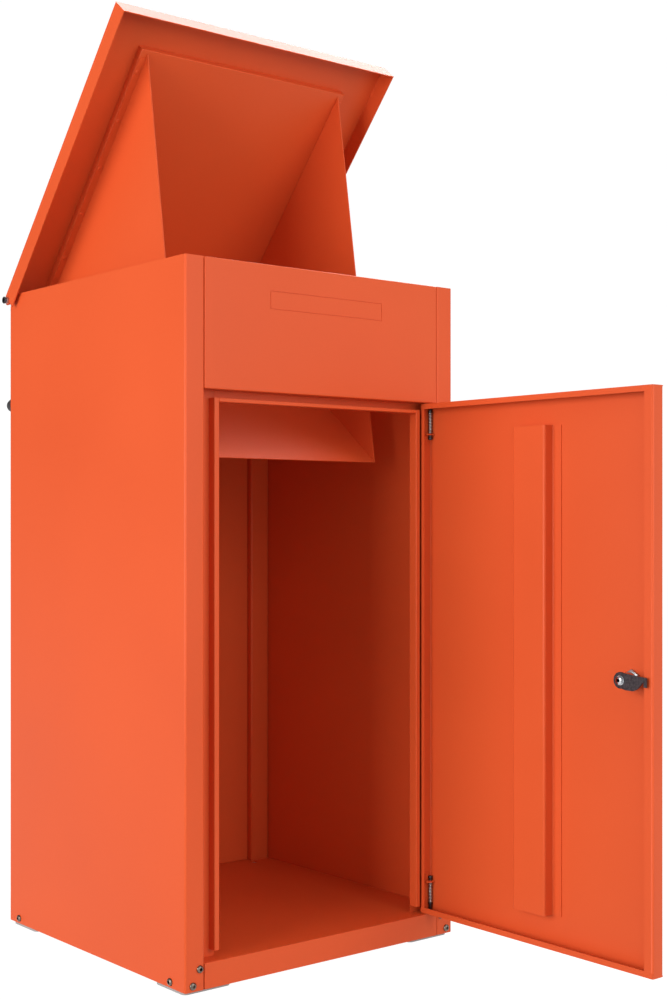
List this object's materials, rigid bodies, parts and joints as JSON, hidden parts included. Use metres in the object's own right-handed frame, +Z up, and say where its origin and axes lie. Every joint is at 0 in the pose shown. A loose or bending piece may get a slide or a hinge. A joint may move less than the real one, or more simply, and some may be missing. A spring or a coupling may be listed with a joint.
{
  "type": "parcel drop box",
  "caption": "Upright sheet-steel parcel box with a lockable front door, shown open, and a lifted rear-hinged lid that carries a tipping hopper.",
  "frame": {"origin": "middle of the footprint on the floor, in the plane of the feet's undersides", "axes": "+X to the right seen from the front, +Y towards the rear, +Z up; the door is on the -Y side"},
  "size_m": [0.5296, 0.922, 1.3715],
  "materials": {
    "powder_coat": "fine-textured semi-gloss orange powder coat",
    "foot_plastic": "moulded light grey plastic",
    "zinc_plate": "bright zinc plate",
    "black_steel": "black oxide",
    "buffer_rubber": "moulded black rubber",
    "nylon": "natural nylon",
    "spring_steel": "drawn spring wire",
    "lock_chrome": "nickel-chrome plate"
  },
  "bodies": {
    "cabinet": {"side_panel_left": "powder_coat", "side_panel_right": "powder_coat", "upper_front_panel": "powder_coat", "floor_pan": "powder_coat", "back_panel": "powder_coat", "rear_post_left": "powder_coat", "rear_post_right": "powder_coat", "door_jamb_left": "powder_coat", "door_jamb_right": "powder_coat", "door_header": "powder_coat", "foot_plates": "foot_plastic", "anchor_sleeves": "zinc_plate", "cabinet_screws": "black_steel", "rivet_nuts": "zinc_plate", "back_rivets": "zinc_plate", "wall_buffers": "buffer_rubber", "buffer_studs": "zinc_plate", "lid_pivot_bolts": "black_steel", "lid_pivot_spacers": "nylon", "lid_pivot_washers": "zinc_plate", "lid_pivot_nuts": "zinc_plate"},
    "lid_body": {"lid": "powder_coat", "hopper_liner": "powder_coat", "hopper_wing_left": "powder_coat", "hopper_wing_right": "powder_coat", "hopper_floor": "powder_coat", "hopper_rivets": "powder_coat"},
    "door": {"door_panel": "powder_coat", "door_stiffener": "powder_coat", "pin_guides": "powder_coat", "lock_barrel": "lock_chrome", "lock_nut": "zinc_plate", "hinge_spring_upper": "spring_steel", "hinge_spring_lower": "spring_steel"},
    "upper_pin": {"hinge_pin_upper": "black_steel"},
    "lower_pin": {"hinge_pin_lower": "black_steel"},
    "lock_core": {"lock_plug": "lock_chrome", "lock_cam": "black_steel", "cam_screw": "lock_chrome"}
  },
  "joints": [
    {"name": "lid_hinge", "type": "hinge", "parent": "cabinet", "child": "lid_body", "pos_m": [0, 0.2345, 0.984], "axis": [-1, 0, 0], "range_deg": [-49.6, 0]},
    {"name": "door_hinge", "type": "hinge", "parent": "cabinet", "child": "door", "pos_m": [0.2105, -0.235, 0.4275], "axis": [0, 0, 1], "range_deg": [-90, 0]},
    {"name": "upper_pin_slide", "type": "slide", "parent": "door", "child": "upper_pin", "axis": [0, 0, -1], "range_m": [0, 0.01], "stiffness_N_per_m": 300, "springref_m": -0.012, "deforming": ["hinge_spring_upper"]},
    {"name": "lower_pin_slide", "type": "slide", "parent": "door", "child": "lower_pin", "axis": [0, 0, 1], "range_m": [0, 0.01], "stiffness_N_per_m": 300, "springref_m": -0.012, "deforming": ["hinge_spring_lower"]},
    {"name": "lock_turn", "type": "hinge", "parent": "door", "child": "lock_core", "pos_m": [0.188, -0.613, 0.426], "axis": [-1, 0, 0], "range_deg": [0, 90]}
  ]
}
